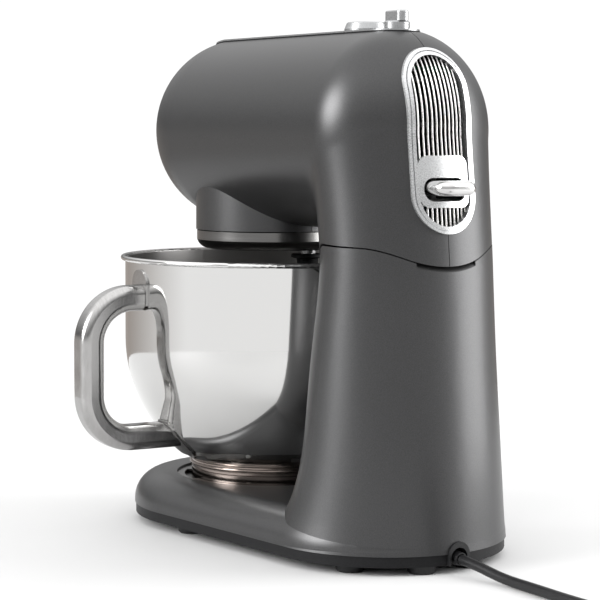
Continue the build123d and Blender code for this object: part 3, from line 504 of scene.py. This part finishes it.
def round_corner(before, corner, after, radius, count=10):
    """Points of an arc that rounds a corner."""
    before, corner, after = Vector(before), Vector(corner), Vector(after)
    first, second = (before - corner).normalized(), (after - corner).normalized()
    half = math.acos(first.dot(second)) / 2
    centre = corner + (first + second).normalized() * (radius / math.sin(half))
    arms = [corner + way * (radius / math.tan(half)) - centre for way in (first, second)]
    begin, end = (math.atan2(arm.y, arm.x) for arm in arms)
    angles = [begin + (end - begin) * k / count for k in range(count + 1)]
    return [(centre.x + radius * math.cos(a), centre.y + radius * math.sin(a)) for a in angles]


def slab(name, low, half):
    """Cutter over the whole length of the head, from a height up."""
    return prism(name, [(BEHIND, low), (AHEAD, low), (AHEAD, ABOVE), (BEHIND, ABOVE)], -half, half)


def top_holes(dial_sides):
    """Cutters for the dial's shaft and the cap's stem."""
    return [("DIFFERENCE", prism("hole", circle(x, 0, radius, sides), 355, 370, "Z"))
            for x, radius, sides in ((DIAL_X, DIAL_HOLE, dial_sides), (CAP_X, CAP_HOLE, 32))]


def make_head():
    """Painted head in one skin with its collar, seam, parting line and openings."""
    mesh = combine(head_solid("head_outer", 0), [
        ("UNION", prism("collar", circle(0, 0, COLLAR_R), COLLAR_LOW, COLLAR_HIGH, "Z")),
        ("DIFFERENCE", slab("top", TOP_Z, BESIDE)),
        ("DIFFERENCE", head_solid("head_inner", SKIN)),
        ("DIFFERENCE", prism("bore", circle(0, 0, COLLAR_R - SKIN), COLLAR_LOW - 7, COLLAR_HIGH + 6, "Z")),
        ("DIFFERENCE", prism("below", seam_outline(SEAM_GAP), -110, 110)),
        ("DIFFERENCE", prism("grille_hole", racetrack(24, 229.5, 349.5), BEHIND, -150, "X")),
        *top_holes(24),
        ("DIFFERENCE", slab("parting", 150, 0.25)),
    ])
    smooth(mesh, 32)
    link("head_skin", mesh, PAINT, "head", ("head_shell_left", "head_shell_right"))


make_head()


# ---------------------------------------------------------------- rear grille
SLAT_COUNT, SLAT_PITCH, RIB_HEIGHTS = 11, 3.55, (236, 300, 330)
GRILLE_MID_LOW, GRILLE_MID_HIGH, GRILLE_INSIDE = 253.5, 325.5, 21.4
WINDOW_EDGES = (247.5, 266.0)
SLAT_SECTION = ((-0.5, 2.7), (-0.62, 0.8), (-0.45, 0.3), (-0.17, 0.05),
                (0.17, 0.05), (0.45, 0.3), (0.62, 0.8), (0.5, 2.7))
RIB_SECTION = ((3.7, -1.4), (3.7, 1.4), (5.2, 1.4), (5.2, -1.4))


def tail_x(y, z, inset):
    """Place of the tail's surface, set in by an inset, at points across and up."""
    y, z = np.broadcast_arrays(np.asarray(y, float), np.asarray(z, float))
    near, far = np.full(z.shape, -250.0), np.full(z.shape, -165.0)
    for _ in range(30):
        mid = (near + far) / 2
        inside = head_depth(mid, y, z, inset) < 0
        near, far = np.where(inside, near, mid), np.where(inside, mid, far)
    return near


def slat_rings(y, low, high):
    """Rings of points along one slat: round in front, straight behind."""
    heights = np.linspace(low, high, max(6, int((high - low) / 1.4)))
    line = tail_x(y, heights, 1.0)
    run = np.gradient(line, heights)
    length = np.sqrt(1 + run * run)
    rings = []
    for x, z, slope, long in zip(line, heights, run, length):
        rings.append([at(x + deep / long, y + side, z - deep * slope / long) for side, deep in SLAT_SECTION])
    return rings


def make_grille():
    """Slats and the ribs behind them, as one piece; the ribs are black as painted shade inside the head."""
    parts = []
    for k in range(SLAT_COUNT):
        y = (k - (SLAT_COUNT - 1) / 2) * SLAT_PITCH
        reach = math.sqrt(GRILLE_INSIDE**2 - y * y)
        low, high = GRILLE_MID_LOW - reach, GRILLE_MID_HIGH + reach
        parts.append((slat_rings(y, low, WINDOW_EDGES[0]), 0))
        parts.append((slat_rings(y, WINDOW_EDGES[1], high), 0))
    for z in RIB_HEIGHTS:
        reach = math.sqrt(GRILLE_INSIDE**2 - max(GRILLE_MID_LOW - z, z - GRILLE_MID_HIGH, 0) ** 2)
        rings = []
        for y in np.linspace(-reach, reach, 24):
            rings.append([at(float(tail_x(y, z + up, deep)), y, z + up) for deep, up in RIB_SECTION])
        # slot 1 is black: painted shade on the ribs behind the slats
        parts.append((rings, 1))
    work = bmesh.new()
    for rings, slot in parts:
        add_part(work, grid_mesh("part", rings), slot)
    bmesh.ops.recalc_face_normals(work, faces=work.faces)
    mesh = bpy.data.meshes.new("rear_grille")
    work.to_mesh(mesh)
    work.free()
    smooth(mesh, 50)
    mesh.materials.append(SLAT_STEEL)
    # black for the ribs: painted shade behind the slats
    mesh.materials.append(BLACK)
    link("rear_grille", mesh, None, "head", ("grille_slats",))


make_grille()


# ---------------------------------------------------------------- band along the top
BAND_REAR, BAND_FRONT, BAND_HALF = -173.0, 62.0, 18.5
BAND_LAYERS = ((0, 0.7, 2.0), (0.45, -0.3, 0.9))  # growth of the edge, bottom and top above the head


def band_rings(grow, low, high):
    """Rings across the band, which lies on the flat top and turns down with the nose."""
    half = BAND_HALF + grow
    rings = []
    ends = (BAND_REAR - grow + half, BAND_FRONT + grow - half)
    bows = [half * math.sin(angle) for angle in np.linspace(0, math.pi / 2, 14)[1:]]
    places = [ends[0] - bow for bow in reversed(bows)] + list(np.linspace(ends[0], ends[1], 60))
    places += [ends[1] + bow for bow in bows]
    for x in places:
        past = max(ends[0] - x, x - ends[1], 0) / half
        width = half * math.sqrt(max(1 - past * past, 0)) + 0.05
        across = np.linspace(-width, width, 15)
        top = np.minimum(HEAD_Z + np.sqrt(HEAD_R**2 - max(x - NOSE_X, 0) ** 2 - across**2), TOP_Z)
        ring = [at(x, y, z + high) for y, z in zip(across, top)]
        ring += [at(x, y, z + low) for y, z in zip(across[::-1], top[::-1])]
        rings.append(ring)
    return rings


def make_band():
    """Satin band with a thin dark gasket under its edge."""
    work = bmesh.new()
    for slot, layer in enumerate(BAND_LAYERS):
        add_part(work, combine(outward(grid_mesh("band", band_rings(*layer))), top_holes(32)), slot)
    mesh = bpy.data.meshes.new("top_band")
    work.to_mesh(mesh)
    work.free()
    smooth(mesh, 30)
    mesh.materials.append(STRIP_SILVER)
    mesh.materials.append(BLACK)
    link("top_band", mesh, None, "head", ("top_strip",))


make_band()


# ---------------------------------------------------------------- release lever
LEVER_X, LEVER_Z = -178.0, 258.0
TONGUE_END, TONGUE_START, TONGUE_HALF, TONGUE_MID_Z, TONGUE_R = -234.0, -190.0, 16.0, 257.8, 5.0
ARM_END, ARM_HALF, BOSS_R, PIN_R, PAWL_FOOT = -146, 6.5, 7, 3, 199.5


def tongue_outline(inset):
    """Plan of the tongue, brought in by an inset, with round outer corners."""
    half, end, radius = TONGUE_HALF - inset, TONGUE_END + inset, 9.5 - inset * 0.8
    points = [(TONGUE_START, -half)]
    for centre_y, start in ((-half + radius, 270), (half - radius, 180)):
        for k in range(13):
            angle = math.radians(start - 90 * k / 12)
            points.append((end + radius + radius * math.cos(angle), centre_y + radius * math.sin(angle)))
    return points + [(TONGUE_START, half)]


def make_lever():
    """Polished tongue with fully round edges, its arm, boss and pawl."""
    rings = []
    for degrees in range(-90, 91, 12):
        angle = math.radians(degrees)
        inset, height = TONGUE_R * (1 - math.cos(angle)), TONGUE_MID_Z + TONGUE_R * math.sin(angle)
        rings.append([at(x, y, height) for x, y in tongue_outline(inset)])
    tongue = outward(grid_mesh("tongue", rings))
    mesh = combine(tongue, [
        ("UNION", prism("arm", [(-192, 254), (ARM_END, 254), (ARM_END, 262), (-192, 262)],
                        -ARM_HALF, ARM_HALF)),
        ("UNION", prism("boss", circle(LEVER_X, LEVER_Z, BOSS_R, 48), -10, 10)),
        ("UNION", prism("pawl", [(ARM_END - 8, PAWL_FOOT), (ARM_END, PAWL_FOOT), (ARM_END, 261),
                                 (ARM_END - 8, 261)], -6.4, 6.4)),
        ("DIFFERENCE", prism("pin", circle(LEVER_X, LEVER_Z, PIN_R, 32), -12, 12)),
    ])
    smooth(mesh, 40)
    link("lever_tongue", mesh, LEVER_STEEL, "lever", ("release_lever",))


make_lever()


# ---------------------------------------------------------------- floor and light
GLOW_WAY, GLOW_LOW, GLOW_HIGH = math.radians(150), (0.42, 0.38, 0.35), (1.15, 1.15, 1.15)
SIDE_WAY, SIDE_LEVEL, SIDE_RISE, SIDE_GLOW = math.radians(78), 0.93, 0.37, 15.0
SKY_LOW, SKY_HIGH = 0.15, 1.75
SEEN_WHITE = 1.05
FLOOR_X, FLOOR_R, FLOOR_TONES = -100, 950, ((0.56, 0.56, 0.56), (0.58, 0.58, 0.58))
LAMP_PLACE, LAMP_AIM, LAMP_SIZE, LAMP_POWER = (-800, -1200, 560), (-60, 0, 190), (0.9, 1.3), 25


def toward(tree, vector, way):
    """How far a direction points along a way, -1 to 1."""
    node = tree.nodes.new("ShaderNodeVectorMath")
    node.operation = "DOT_PRODUCT"
    node.inputs[1].default_value = way
    tree.links.new(vector, node.inputs[0])
    return node.outputs["Value"]


def mixed(tree, blend_type, factor, first, second):
    """Mix of two colours; the factor is a socket or a number."""
    node = tree.nodes.new("ShaderNodeMix")
    node.data_type, node.blend_type = "RGBA", blend_type
    if isinstance(factor, bpy.types.NodeSocket):
        tree.links.new(factor, node.inputs["Factor"])
    else:
        node.inputs["Factor"].default_value = factor
    tree.links.new(first, node.inputs["A"])
    tree.links.new(second, node.inputs["B"])
    return node.outputs["Result"]


def make_world():
    """White behind the object; it is lit by a bright ceiling, a glow at floor level and a side light."""
    world = bpy.data.worlds.new("world")
    world.use_nodes = True
    tree = world.node_tree
    way = tree.nodes.new("ShaderNodeTexCoord").outputs["Generated"]
    split = tree.nodes.new("ShaderNodeSeparateXYZ")
    tree.links.new(way, split.inputs["Vector"])
    sky = ramp(tree, split.outputs["Z"], SKY_LOW, SKY_HIGH, 0.05, 0.8)
    shifted = tree.nodes.new("ShaderNodeMath")
    shifted.operation = "MULTIPLY_ADD"
    shifted.inputs[1].default_value, shifted.inputs[2].default_value = 0.5, 0.5
    tree.links.new(toward(tree, way, (math.cos(GLOW_WAY), math.sin(GLOW_WAY), 0)), shifted.inputs[0])
    glow = ramp(tree, shifted.outputs["Value"], GLOW_LOW, GLOW_HIGH, 0.05, 0.66)
    above = ramp(tree, split.outputs["Z"], 0.0, 1.0, 0.0, 0.04)
    side_way = (math.cos(SIDE_WAY) * SIDE_LEVEL, math.sin(SIDE_WAY) * SIDE_LEVEL, SIDE_RISE)
    spot = ramp(tree, toward(tree, way, side_way), 0.0, SIDE_GLOW, 0.93, 1.0)
    lit = mixed(tree, "ADD", 1, mixed(tree, "MIX", above, glow, sky), spot)
    room = tree.nodes["Background"]
    tree.links.new(lit, room.inputs["Color"])
    white = tree.nodes.new("ShaderNodeBackground")
    white.inputs["Color"].default_value = (1, 1, 1, 1)
    white.inputs["Strength"].default_value = SEEN_WHITE
    seen = tree.nodes.new("ShaderNodeLightPath")
    mix = tree.nodes.new("ShaderNodeMixShader")
    tree.links.new(seen.outputs["Is Camera Ray"], mix.inputs["Fac"])
    tree.links.new(room.outputs["Background"], mix.inputs[1])
    tree.links.new(white.outputs["Background"], mix.inputs[2])
    tree.links.new(mix.outputs["Shader"], tree.nodes["World Output"].inputs["Surface"])
    bpy.context.scene.world = world


def make_stage():
    """Pale floor, the room's light and one softbox behind the far side."""
    mesh = bpy.data.meshes.new("floor")
    edge = [tuple(at(x, y, 0)) for x, y in circle(FLOOR_X, 0, FLOOR_R)]
    mesh.from_pydata(edge, [], [tuple(range(len(edge)))])
    floor = bpy.data.objects.new("floor", mesh)
    bpy.context.scene.collection.objects.link(floor)
    mesh.materials.append(surface("floor", *FLOOR_TONES, 0.0, 0.7, 0.8, 3))
    make_world()
    lamp = bpy.data.lights.new("softbox", "AREA")
    lamp.shape = "RECTANGLE"
    (lamp.size, lamp.size_y), lamp.energy = LAMP_SIZE, LAMP_POWER
    softbox = bpy.data.objects.new("softbox", lamp)
    bpy.context.scene.collection.objects.link(softbox)
    softbox.location = at(*LAMP_PLACE)
    softbox.rotation_mode = "QUATERNION"
    softbox.rotation_quaternion = (at(*LAMP_AIM) - softbox.location).to_track_quat("-Z", "Y")
    bpy.context.scene.view_settings.view_transform = "Standard"


make_stage()
